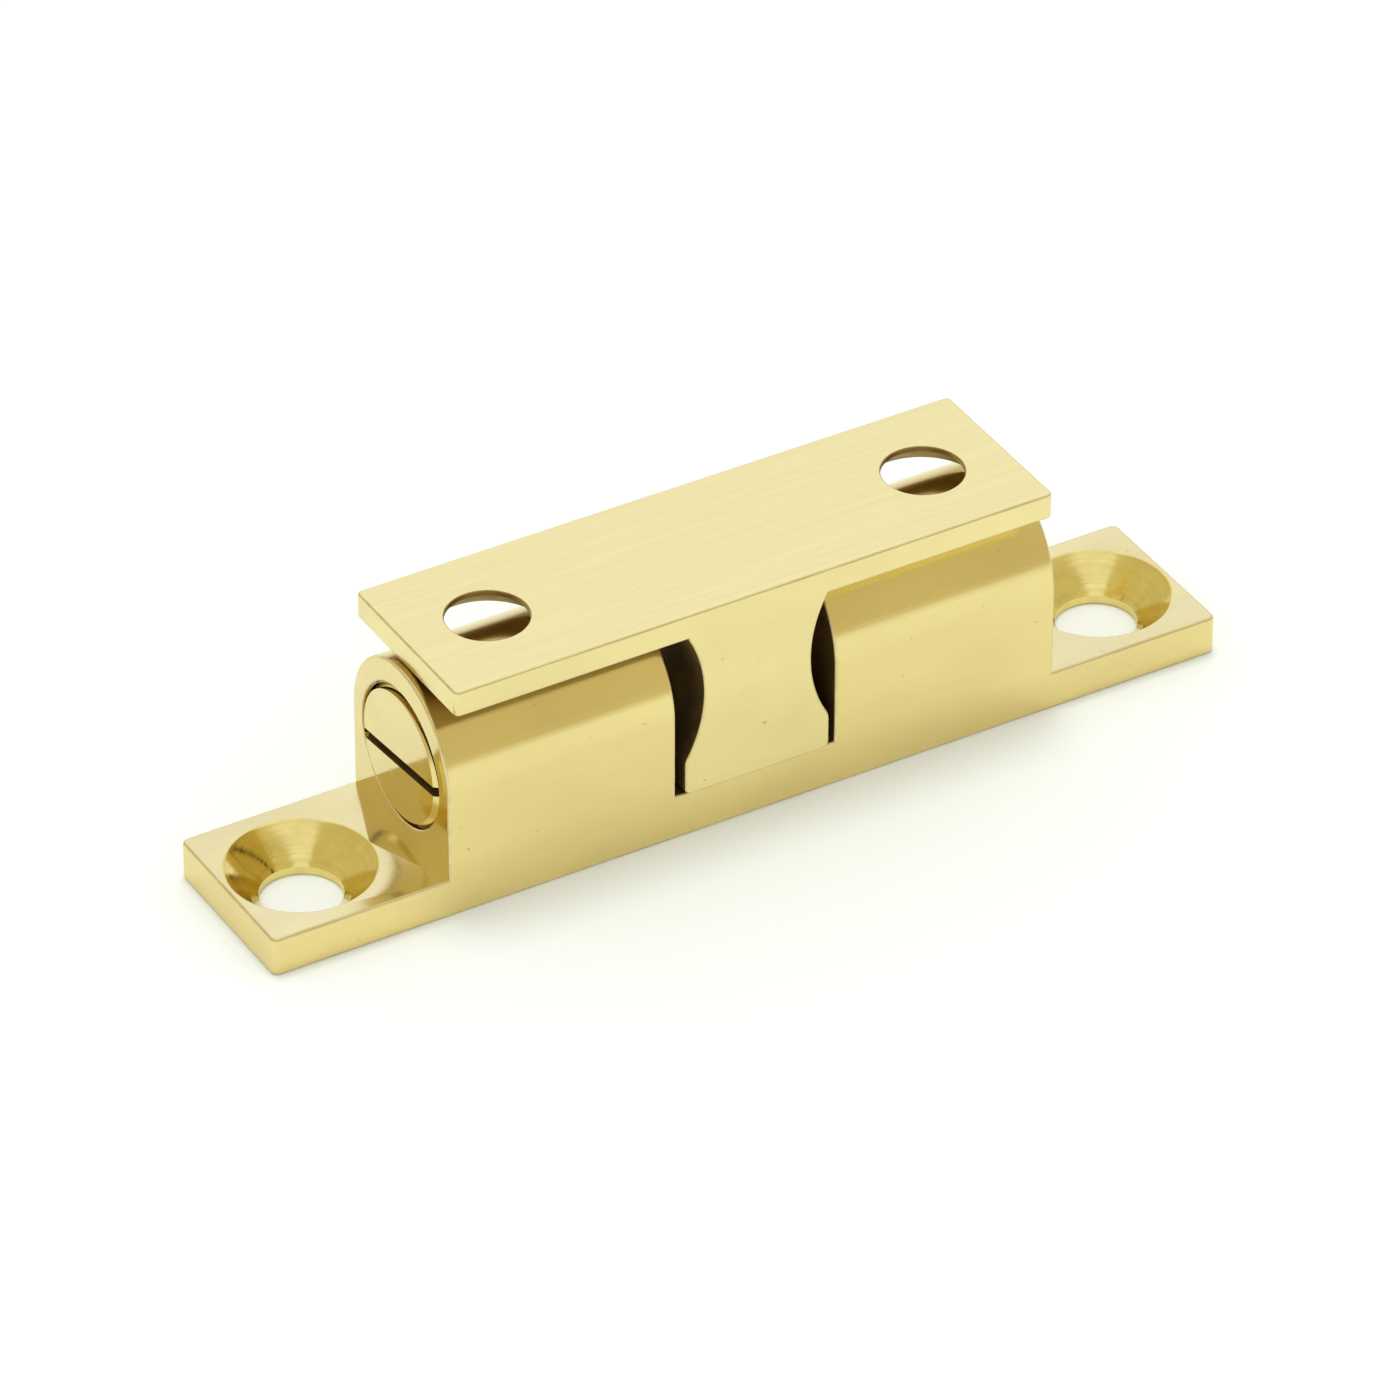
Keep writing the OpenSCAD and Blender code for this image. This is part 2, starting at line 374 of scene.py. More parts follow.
def arched(bm, face):
    """Raises a half round on the flat top of a block and joins its ends to the walls below."""
    height = face.verts[0].co.z
    ends = {round(vert.co.x, 6) for vert in face.verts}
    lengthwise = [
        edge for edge in face.edges if abs(edge.verts[0].co.y - edge.verts[1].co.y) < MERGE
    ]
    start = min(lengthwise, key=lambda edge: edge.verts[0].co.y)
    bmesh.ops.delete(bm, geom=[face], context="FACES_ONLY")
    bmesh.ops.spin(
        bm, geom=[start, *start.verts], cent=Z_AXIS * height, axis=X_AXIS, angle=-math.pi,
        steps=ARCH_STEPS,
    )
    bmesh.ops.remove_doubles(bm, verts=bm.verts[:], dist=MERGE)
    for x in ends:
        rim = [
            edge for edge in bm.edges
            if edge.is_boundary and all(abs(vert.co.x - x) < NEAR for vert in edge.verts)
        ]
        seam = max(rim, key=lambda edge: edge.calc_length())
        bmesh.ops.contextual_create(bm, geom=rim)
        bmesh.ops.dissolve_edges(bm, edges=[seam], use_verts=False)


def threaded(bm, start, end, low, high, pitch, trim):
    """Sweeps a right-hand thread along the bore's axis, trims its ends and gives its two rims.

    trim takes a point's place along the axis and its radius, and gives the radius that is left.
    """
    waves = math.ceil((end - start) / pitch) + 3
    first = (math.floor(start / pitch) - 1) * pitch
    shape = ((0, low), (ROOT_END, low), (CREST_START, high), (CREST_END, high))
    outline = chain(bm, [
        BORE_AXIS + X_AXIS * (first + (wave + share) * pitch) + Z_AXIS * radius
        for wave in range(waves) for share, radius in shape
    ])
    before = set(bm.faces)
    bmesh.ops.spin(
        bm, geom=outline, cent=BORE_AXIS, axis=X_AXIS, dvec=X_AXIS * (pitch / ROUND_STEPS),
        angle=2 * math.pi, steps=ROUND_STEPS, use_merge=False,
    )
    bmesh.ops.remove_doubles(bm, verts=verts_of(faces_since(bm, before)), dist=MERGE)
    for place, way in ((start, -X_AXIS), (end, X_AXIS)):
        faces = faces_since(bm, before)
        edges = list(dict.fromkeys(edge for face in faces for edge in face.edges))
        bmesh.ops.bisect_plane(
            bm, geom=faces + edges + verts_of(faces), dist=MERGE, plane_co=X_AXIS * place,
            plane_no=way, clear_outer=True,
        )
    faces = faces_since(bm, before)
    for vert in verts_of(faces):
        spoke = vert.co - BORE_AXIS - X_AXIS * vert.co.x
        vert.co += spoke.normalized() * (trim(vert.co.x, spoke.length) - spoke.length)
    return faces, rim_at(faces, BORE_AXIS, X_AXIS, start), rim_at(faces, BORE_AXIS, X_AXIS, end)


def marked_sharp(bm):
    """Shades every face smooth, apart from the edges where two faces meet at a clear angle."""
    bmesh.ops.recalc_face_normals(bm, faces=bm.faces[:])
    for face in bm.faces:
        face.smooth = True
    for edge in bm.edges:
        edge.smooth = not (edge.is_manifold and edge.calc_face_angle() > SHARP)


def new_piece(bm, name, finishes, body, node):
    """Makes a finished mesh a piece that rides on a body and replaces a CAD node."""
    mesh = bpy.data.meshes.new(name)
    bm.to_mesh(mesh)
    bm.free()
    for finish in finishes:
        mesh.materials.append(finish.material)
    piece = bpy.data.objects.new(name, mesh)
    bpy.context.scene.collection.objects.link(piece)
    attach(piece, body)
    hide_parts(node)
    return piece


def evened(piece):
    """Lets large flat faces keep their own normals beside the small rounds."""
    modifier = piece.modifiers.new("Even shading", "WEIGHTED_NORMAL")
    modifier.mode = "FACE_AREA"
    modifier.weight = 100
    modifier.keep_sharp = True


# Materials


def add_node(tree, kind, inputs=None, **settings):
    """Adds a node to a tree; an input is a value, or the socket that feeds it."""
    node = tree.nodes.new(kind)
    for key, value in settings.items():
        setattr(node, key, value)
    for key, value in (inputs or {}).items():
        if isinstance(value, bpy.types.NodeSocket):
            tree.links.new(value, node.inputs[key])
        else:
            node.inputs[key].default_value = value
    return node


class Finish:
    """One metal's material, whose colour, roughness and bump come from patterns on the object."""

    def __init__(self, name, metal_colour):
        self.material = bpy.data.materials.new(name)
        self.material.use_nodes = True
        self.tree = self.material.node_tree
        self.shader = self.tree.nodes["Principled BSDF"]
        self.shader.inputs["Metallic"].default_value = 1.0
        self.colour = (*metal_colour, 1)
        self.place = self.add("ShaderNodeTexCoord").outputs["Object"]
        self.normal = None

    def add(self, kind, inputs=None, **settings):
        """Adds a node to this metal."""
        return add_node(self.tree, kind, inputs, **settings)

    def reckon(self, operation, *vectors):
        """Adds a vector operation and gives its result."""
        node = self.add("ShaderNodeVectorMath", dict(enumerate(vectors)), operation=operation)
        return node.outputs["Value" if operation == "LENGTH" else "Vector"]

    def noise(self, size, detail=3.0):
        """Noise whose features have a size in millimetres along X, Y and Z."""
        scale = [1 / (length_mm * MM) for length_mm in size]
        mapping = self.add("ShaderNodeMapping", {"Vector": self.place, "Scale": scale})
        texture = self.add(
            "ShaderNodeTexNoise", {"Vector": mapping.outputs[0], "Scale": 1.0, "Detail": detail}
        )
        return texture.outputs["Fac"]

    def rings(self, centre, axis_scale, spacing):
        """Noise in rings round an axis on both sides; axis_scale is 0 along the axis, 1 across it."""
        centred = self.reckon("SUBTRACT", self.reckon("ABSOLUTE", self.place), centre)
        radius = self.reckon("LENGTH", self.reckon("MULTIPLY", centred, axis_scale))
        texture = self.add(
            "ShaderNodeTexNoise", {"W": radius, "Scale": 1 / (spacing * MM), "Detail": 2.0},
            noise_dimensions="1D",
        )
        return texture.outputs["Fac"]

    def spread(self, value, low, high, start=NOISE_LOW, end=NOISE_HIGH):
        """Spreads the middle part of a pattern over a range of values."""
        node = self.add(
            "ShaderNodeMapRange",
            {"Value": value, "From Min": start, "From Max": end, "To Min": low, "To Max": high},
        )
        return node.outputs[0]

    def tint(self, value, other, most, start=NOISE_LOW, end=NOISE_HIGH):
        """Mixes another colour into the metal's, by a pattern, up to a share."""
        share = self.spread(value, 0.0, most, start, end)
        node = self.add(
            "ShaderNodeMix", {"Factor": share, "A": self.colour, "B": (*other, 1)}, data_type="RGBA"
        )
        self.colour = node.outputs["Result"]
        self.tree.links.new(self.colour, self.shader.inputs["Base Color"])

    def rough(self, value, low, high):
        """Varies the roughness by a pattern."""
        self.tree.links.new(self.spread(value, low, high), self.shader.inputs["Roughness"])

    def relief(self, value, microns):
        """Adds a pattern's relief to the surface."""
        inputs = {"Height": value, "Distance": microns * MICRON, "Strength": 1.0}
        if self.normal:
            inputs["Normal"] = self.normal
        self.normal = self.add("ShaderNodeBump", inputs).outputs[0]
        self.tree.links.new(self.normal, self.shader.inputs["Normal"])


def satin_brass(name, colours, metal, streak=(9.0, 0.12, 0.12), roughness=(0.15, 0.24), depth=1.0):
    """Brass with a fine satin grain and faint streaks along the bar."""
    finish = Finish(name, metal)
    streaks = finish.noise(streak)
    finish.tint(finish.noise((7.0, 3.0, 3.0)), colours.cut, most=0.14)
    specks = finish.noise((0.4, 0.3, 0.3), detail=1.0)
    finish.tint(specks, colours.tarnish, most=0.5, start=0.76, end=0.84)
    finish.rough(streaks, *roughness)
    finish.relief(streaks, microns=depth)
    finish.relief(finish.noise((0.14, 0.12, 0.12), detail=2.0), microns=depth)
    return finish


def crest_shaded_brass(name, colours, metal, start, end):
    """Satin brass with painted shade: it turns darker between two heights, towards the crest that the
    striker's plate overhangs.
    """
    finish = satin_brass(name, colours, metal)
    height = finish.add("ShaderNodeSeparateXYZ", {"Vector": finish.place}).outputs["Z"]
    # Painted shade: darker towards the crest, under the striker's plate
    finish.tint(height, colours.rubbed, most=0.55, start=start, end=end)
    return finish


def brushed_brass(name, colours, metal):
    """Brass that is brushed lengthwise."""
    finish = Finish(name, metal)
    fine = finish.noise((6.0, 0.07, 0.07))
    finish.tint(finish.noise((25.0, 0.35, 0.35)), colours.satin, most=0.22)
    finish.tint(fine, colours.cut, most=0.08)
    finish.rough(fine, 0.28, 0.42)
    finish.relief(fine, microns=2.0)
    finish.relief(finish.noise((20.0, 0.25, 0.25), detail=2.0), microns=2.0)
    return finish


def polished_brass(name, colours, metal):
    """Brass with a bright polish, a little uneven."""
    finish = Finish(name, metal)
    finish.tint(finish.noise((3.0, 2.0, 2.0)), colours.cut, most=0.12)
    finish.rough(finish.noise((0.6, 0.5, 0.5)), 0.06, 0.14)
    finish.relief(finish.noise((2.5, 2.5, 2.5), detail=1.0), microns=6.0)
    finish.relief(finish.noise((0.2, 0.2, 0.2), detail=2.0), microns=0.5)
    return finish


def turned_brass(name, colours, metal, centre, axis_scale, spacing):
    """Brass with the rings that a countersink or drill leaves."""
    finish = Finish(name, metal)
    rings = finish.rings(centre, axis_scale, spacing)
    finish.tint(finish.noise((0.8, 0.8, 0.8)), colours.cut, most=0.18)
    finish.tint(rings, colours.cut, most=0.12)
    finish.rough(rings, 0.08, 0.2)
    finish.relief(rings, microns=3.0)
    return finish


def shaded_cut_brass(name, colours, metal):
    """Dull brass, as a saw, mill or drill leaves it; the dark colour it is given is painted shade in
    the slots, grooves and holes.
    """
    finish = Finish(name, metal)
    marks = finish.noise((1.2, 1.2, 0.1))
    finish.tint(finish.noise((1.5, 1.5, 1.5)), colours.tarnish, most=0.5)
    finish.rough(marks, 0.42, 0.6)
    finish.relief(marks, microns=6.0)
    return finish


def edge_brass(name, colours, metal):
    """Brass on the rounded edges, where the polish is uneven."""
    finish = Finish(name, metal)
    wear = finish.noise((2.0, 0.6, 0.6), detail=4.0)
    finish.tint(wear, colours.cut, most=0.25)
    finish.rough(wear, 0.24, 0.42)
    finish.relief(finish.noise((0.3, 0.1, 0.1), detail=2.0), microns=4.0)
    return finish


def polished_steel(name, colours):
    """Bright steel with the finest lapping marks."""
    finish = Finish(name, colours.ball)
    finish.tint(finish.noise((1.5, 1.5, 1.5)), colours.ball_haze, most=0.25)
    finish.rough(finish.noise((0.25, 0.25, 0.25), detail=4.0), 0.04, 0.12)
    finish.relief(finish.noise((0.12, 0.12, 0.12), detail=2.0), microns=0.3)
    return finish


def drawn_wire(name, colours):
    """Spring wire, with faint streaks and a dark tone from its heat treatment."""
    finish = Finish(name, colours.wire)
    finish.tint(finish.noise((0.9, 0.9, 0.9)), colours.wire_scale, most=0.5)
    finish.rough(finish.noise((0.3, 0.3, 0.3)), 0.22, 0.38)
    finish.relief(finish.noise((0.08, 0.08, 0.08), detail=2.0), microns=1.5)
    return finish


# Pieces


class BALLCATCH_OT_body(bpy.types.Operator):
    """Model the brass body, with its tapped bores, slot and countersunk feet"""

    bl_idname = "ball_catch.body"
    bl_label = "Body"

    # The slot's walls and floor and the bores take a dark colour that is painted shade
    SIDE, FOOT, END, SINK, CUT, BORE, EDGE = range(7)
    PROBE = 3  # a face is looked for this many edge rounds in from its edge
    RIM_EASE = 0.3  # how far in the middle of a rim's round lies, as a share of the round
    THREAD_GAP = 0.1 * MM  # between the plain bore and the first turn of its thread
    LEAD_GAP = 0.02 * MM  # between the last turn of a thread and its lead-in
    SINK_RINGS, BORE_RINGS = 0.14, 0.3  # millimetres between the rings that a tool leaves
    MILLED = {"streak": (0.15, 4.0, 4.0), "roughness": (0.14, 0.2), "depth": 0.4}

    def execute(self, context):
        sizes = context.scene.catch_body
        thread = context.scene.catch_thread
        bm = bmesh.new()
        self.bar(bm, sizes)
        rounded(bm, corners(bm, BODY_HIGH.x), sizes.corner, CORNER_SEGMENTS)
        paint(rounded(bm, outer_edges(bm), sizes.edge), self.EDGE)
        self.paint_zones(bm, sizes)
        self.holes(bm, sizes, thread)
        marked_sharp(bm)
        piece = new_piece(
            bm, "brass_body", self.finishes(context.scene, sizes), "catch_body", "body"
        )
        evened(piece)
        return {"FINISHED"}

    def bar(self, bm, sizes):
        """The solid bar: feet, blocks with round tops and the slot between them."""
        width = BODY_HIGH.y - BODY_LOW.y
        spring_line = BODY_HIGH.z - width / 2
        start = bm.verts.new((0, BODY_LOW.y, 0))
        foot, block, slot = sizes.foot_thickness, sizes.block_half, sizes.slot_half
        line(bm, start, [
            (BODY_HIGH.x, 0), (BODY_HIGH.x, foot), (block, foot), (block, spring_line),
            (slot, spring_line), (slot, sizes.slot_floor), (0, sizes.slot_floor),
        ])
        sawn_off(bm, width)
        middle = (block + slot) / 2
        for x in (-middle, middle):
            arched(bm, face_at(bm, (x, 0, spring_line), Z_AXIS))
        bmesh.ops.recalc_face_normals(bm, faces=bm.faces[:])

    def paint_zones(self, bm, sizes):
        """Paints the flat faces by where they lie."""
        middle = (sizes.slot_half + sizes.block_half) / 2
        for face in bm.faces:
            if face.material_index == self.EDGE:
                continue
            x = abs(face.calc_center_median().x)
            if abs(face.normal.x) > SQUARE and x < BODY_HIGH.x - sizes.edge * 2:
                face.material_index = self.END if x > middle else self.CUT
            elif face.normal.z > SQUARE and x > sizes.block_half:
                face.material_index = self.FOOT
            elif face.normal.z > SQUARE and x < sizes.slot_half:
                face.material_index = self.CUT

    def holes(self, bm, sizes, thread):
        """Drills and taps both bores, drills both feet and fills the faces round them."""
        under = []
        probe = sizes.edge * self.PROBE
        crest = Z_AXIS * (BODY_HIGH.z - probe)
        for turn in (AS_MADE, HALF_TURN):
            out = turn @ X_AXIS
            mouth, end = self.bore(bm, sizes, thread, turn)
            top, bottom = self.foot_hole(bm, sizes, out * sizes.hole_x)
            under.append(bottom)
            pierced(bm, face_at(bm, out * sizes.slot_half + crest, -out), [mouth])
            pierced(bm, face_at(bm, out * sizes.block_half + crest, out), [end])
            corner = out * (sizes.block_half + probe) + Z_AXIS * sizes.foot_thickness
            pierced(bm, face_at(bm, corner, Z_AXIS), [top])
        pierced(bm, face_at(bm, (0, 0, 0), -Z_AXIS), under)

    def foot_hole(self, bm, sizes, place):
        """A countersunk hole through one foot; gives its upper and lower rims."""
        top, sink = sizes.foot_thickness, sizes.sink_radius
        hole, rim = sizes.hole_radius, sizes.rim
        ease = rim * self.RIM_EASE
        profile = [
            (top, sink + rim), (top - ease, sink + ease), (top - rim, sink + ease - rim),
            (top - (sink - hole), hole), (rim, hole), (0, hole + rim),
        ]
        faces, upper, lower = turned(bm, profile, place, Z_AXIS, X_AXIS)
        paint(faces, self.SINK)
        return upper, lower

    def bore(self, bm, sizes, thread, turn):
        """One bore, from its lip at the slot to its tapped end; gives its two rims."""
        before = set(bm.verts)
        end = sizes.block_half - thread.lead_in
        plain, mouth, inner = turned(bm, [
            (sizes.slot_half, sizes.mouth_radius), (sizes.lip_end, thread.bore_radius),
            (thread.thread_start - self.THREAD_GAP, thread.bore_radius),
        ], BORE_AXIS, X_AXIS, Z_AXIS)

        def trim(along, radius):
            """Fades the first turn in, and opens the last one up to its lead-in."""
            depth = radius - thread.bore_radius
            share = min(1, max(0, (along - thread.thread_start) / thread.pitch))
            return max(thread.bore_radius + depth * share, thread.thread_radius - (end - along))

        taps, tap_inner, tap_outer = threaded(
            bm, thread.thread_start, end, thread.bore_radius, thread.thread_radius, thread.pitch, trim
        )
        lead, lead_inner, rim = turned(bm, [
            (end + self.LEAD_GAP, thread.thread_radius),
            (sizes.block_half, thread.thread_radius + thread.lead_in),
        ], BORE_AXIS, X_AXIS, Z_AXIS)
        joins = bmesh.ops.bridge_loops(bm, edges=inner + tap_inner)["faces"]
        joins += bmesh.ops.bridge_loops(bm, edges=tap_outer + lead_inner)["faces"]
        paint(plain + taps + joins, self.BORE)
        paint(lead, self.EDGE)
        made = [vert for vert in bm.verts if vert not in before]
        bmesh.ops.transform(bm, matrix=turn, verts=made)
        return mouth, rim

    def finishes(self, scene, sizes):
        """The finishes, in the order of the zones."""
        colours = scene.catch_colours
        # Heights between which the painted shade under the striker's plate fades in
        rubbed = [BODY_HIGH.z - drop for drop in (sizes.rubbed, sizes.edge)]
        sinks = [(sizes.hole_x, 0, 0), (1, 1, 0), self.SINK_RINGS]
        bores = [tuple(BORE_AXIS), (0, 1, 1), self.BORE_RINGS]
        return [
            crest_shaded_brass("satin_body_sides", colours, colours.satin, *rubbed),
            # Partly painted sheen: the feet's tops get a paler colour than the sides
            satin_brass("milled_feet_painted_sheen", colours, colours.feet, **self.MILLED),
            polished_brass("polished_block_ends", colours, colours.polished),
            turned_brass("turned_countersinks", colours, colours.turned, *sinks),
            # Painted shade: the slot and the bores get the dark colour
            shaded_cut_brass("sawn_slot_painted_shade", colours, colours.cut),
            turned_brass("drilled_bores_painted_shade", colours, colours.cut, *bores),
            edge_brass("body_edges", colours, colours.edge),
        ]


class BALLCATCH_OT_striker(bpy.types.Operator):
    """Model the striker, a brushed plate with a waisted tongue and two countersunk holes"""

    bl_idname = "ball_catch.striker"
    bl_label = "Striker"

    TOP, SIDE, GROOVE, HOLE, EDGE = range(5)
    PROBE = 1.1  # a face is looked for this many countersink radii out from a hole's middle
    ACROSS = 0.5  # below this, a face's normal doesn't point across the bar

    def execute(self, context):
        sizes = context.scene.catch_striker
        bm = bmesh.new()
        self.bar(bm, sizes)
        rounded(bm, corners(bm, STRIKER_HIGH.x), sizes.corner, CORNER_SEGMENTS)
        paint(rounded(bm, outer_edges(bm), sizes.edge), self.EDGE)
        self.paint_zones(bm, sizes)
        self.holes(bm, sizes)
        marked_sharp(bm)
        piece = new_piece(
            bm, "brass_striker", self.finishes(context.scene), "striker", "striker"
        )
        evened(piece)
        return {"FINISHED"}

    def bar(self, bm, sizes):
        """The solid section: the plate, and below it the tongue with its grooves and rounded nose."""
        under = STRIKER_HIGH.z - sizes.plate_thickness
        tip = Vector((sizes.nose_half - sizes.tip_round, 0, STRIKER_LOW.z + sizes.tip_round))
        groove = Vector((sizes.groove_x, 0, sizes.groove_z))
        groove_end = math.asin((under - groove.z) / sizes.groove_radius)
        inset = groove.x - sizes.nose_half + sizes.nose_round
        lean = math.acos(inset / (sizes.groove_radius + sizes.nose_round))
        nose = groove - Vector((inset, 0, inset * math.tan(lean)))
        vert = line(bm, bm.verts.new((0, STRIKER_LOW.y, STRIKER_LOW.z)), [(tip.x, STRIKER_LOW.z)])
        vert = arc(bm, vert, tip, -math.pi / 2, NOSE_STEPS)
        vert = line(bm, vert, [(sizes.nose_half, nose.z)])
        vert = arc(bm, vert, nose, -lean, NOSE_STEPS)
        vert = arc(bm, vert, groove, lean + groove_end, GROOVE_STEPS)
        end, top = STRIKER_HIGH.x, STRIKER_HIGH.z
        line(bm, vert, [(end, under), (end, top), (0, top)])
        sawn_off(bm, STRIKER_HIGH.y - STRIKER_LOW.y)

    def paint_zones(self, bm, sizes):
        """Paints the faces by where they lie."""
        under = STRIKER_HIGH.z - sizes.plate_thickness
        for face in bm.faces:
            if face.material_index == self.EDGE:
                continue
            if face.normal.z > SQUARE:
                face.material_index = self.TOP
            elif face.calc_center_median().z < under and abs(face.normal.y) < self.ACROSS:
                face.material_index = self.GROOVE
            else:
                face.material_index = self.SIDE

    def holes(self, bm, sizes):
        """Drills the plate's two holes, countersinks them below and fills the faces round them."""
        upper = []
        top, under = STRIKER_HIGH.z, STRIKER_HIGH.z - sizes.plate_thickness
        cone = sizes.sink_radius - sizes.hole_radius
        for x in (-sizes.hole_x, sizes.hole_x):
            profile = rounded_rim(top, sizes.hole_radius, sizes.rim)
            profile += [(under + cone, sizes.hole_radius), (under, sizes.sink_radius)]
            faces, above, below = turned(bm, profile, X_AXIS * x, Z_AXIS, X_AXIS)
            paint(faces, self.HOLE)
            upper.append(above)
            probe = (x + math.copysign(sizes.sink_radius, x) * self.PROBE, 0, under)
            pierced(bm, face_at(bm, probe, -Z_AXIS), [below])
        pierced(bm, face_at(bm, (0, 0, top), Z_AXIS), upper)

    def finishes(self, scene):
        """The finishes, in the order of the zones."""
        colours = scene.catch_colours
        return [
            # Partly painted sheen: the plate's top gets a paler colour than its sides
            brushed_brass("brushed_striker_top_painted_sheen", colours, colours.brushed),
            satin_brass("satin_striker_sides", colours, colours.striker),
            # Painted shade: the tongue's grooves get the dark colour
            shaded_cut_brass("tongue_grooves_painted_shade", colours, colours.cut),
            # Painted shade: the plate's holes get a darker colour
            shaded_cut_brass("striker_holes_painted_shade", colours, colours.hole_shade),
            edge_brass("striker_edges", colours, colours.edge),
        ]


class BALLCATCH_OT_balls(bpy.types.Operator):
    """Model the two polished steel balls"""

    bl_idname = "ball_catch.balls"
    bl_label = "Balls"

    def execute(self, context):
        steel = polished_steel("polished_ball_steel", context.scene.catch_colours)
        for side in TURNS:
            node = f"{side}_ball"
            low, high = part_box(node)
            bm = bmesh.new()
            bmesh.ops.create_icosphere(
                bm, subdivisions=BALL_SUBDIVISIONS, radius=(high.z - low.z) / 2,
                matrix=Matrix.Translation((low + high) / 2),
            )
            for face in bm.faces:
                face.smooth = True
            new_piece(bm, f"{side}_steel_ball", [steel], node, node)
        return {"FINISHED"}


class BALLCATCH_OT_springs(bpy.types.Operator):
    """Model the two compression springs, each in two halves that the ball and the screw press"""

    bl_idname = "ball_catch.springs"
    bl_label = "Springs"

    def execute(self, context):
        sizes = context.scene.catch_spring
        wire = drawn_wire("drawn_spring_wire", context.scene.catch_colours)
        half = (SPRING_HIGH.x - SPRING_LOW.x) / 2
        middle = BORE_AXIS + X_AXIS * (SPRING_LOW.x + half)
        end_for_end = Matrix.Rotation(math.pi, 4, "Y")
        swapped = Matrix.Translation(middle) @ end_for_end @ Matrix.Translation(-middle)
        for side, turn in TURNS.items():
            node = f"{side}_spring"
            # Each half's end, place, body, point that stays where it is, joint and travel
            halves = (
                ("ball", AS_MADE, "catch_body", middle.x, f"{side}_ball_press", sizes.press),
                ("screw", swapped, node, SPRING_HIGH.x, f"{side}_screw_advance", sizes.advance),
            )
            for end, place, body, fixed, joint, travel in halves:
                bm = self.half_coil(sizes)
                bmesh.ops.transform(bm, matrix=turn @ place, verts=bm.verts[:])
                piece = new_piece(bm, f"{side}_spring_{end}_half", [wire], body, node)
                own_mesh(piece)
        return {"FINISHED"}

    def half_coil(self, sizes):
        """A wire wound from its ball end to the spring's middle: closed turns, then open turns."""
        bm = bmesh.new()
        first, last = SPRING_LOW.x + sizes.wire_radius, SPRING_HIGH.x - sizes.wire_radius
        open_turns = sizes.turns / 2 - sizes.end_turns
        open_pitch = ((last - first) / 2 - sizes.end_turns * sizes.end_pitch) / open_turns
        start = BORE_AXIS + X_AXIS * first + Y_AXIS * sizes.coil_radius
        section = bmesh.ops.create_circle(
            bm, segments=WIRE_SIDES, radius=sizes.wire_radius, matrix=Matrix.Translation(start)
        )["verts"]
        geom = section + list(dict.fromkeys(edge for vert in section for edge in vert.link_edges))
        for turns, pitch in ((sizes.end_turns, sizes.end_pitch), (open_turns, open_pitch)):
            steps = round(turns * SPRING_STEPS)
            geom = bmesh.ops.spin(
                bm, geom=geom, cent=BORE_AXIS, axis=X_AXIS, dvec=X_AXIS * (turns * pitch / steps),
                angle=2 * math.pi * turns, steps=steps,
            )["geom_last"]
        bmesh.ops.remove_doubles(bm, verts=bm.verts[:], dist=MERGE)
        bmesh.ops.holes_fill(bm, edges=[edge for edge in bm.edges if edge.is_boundary], sides=0)
        marked_sharp(bm)
        return bm


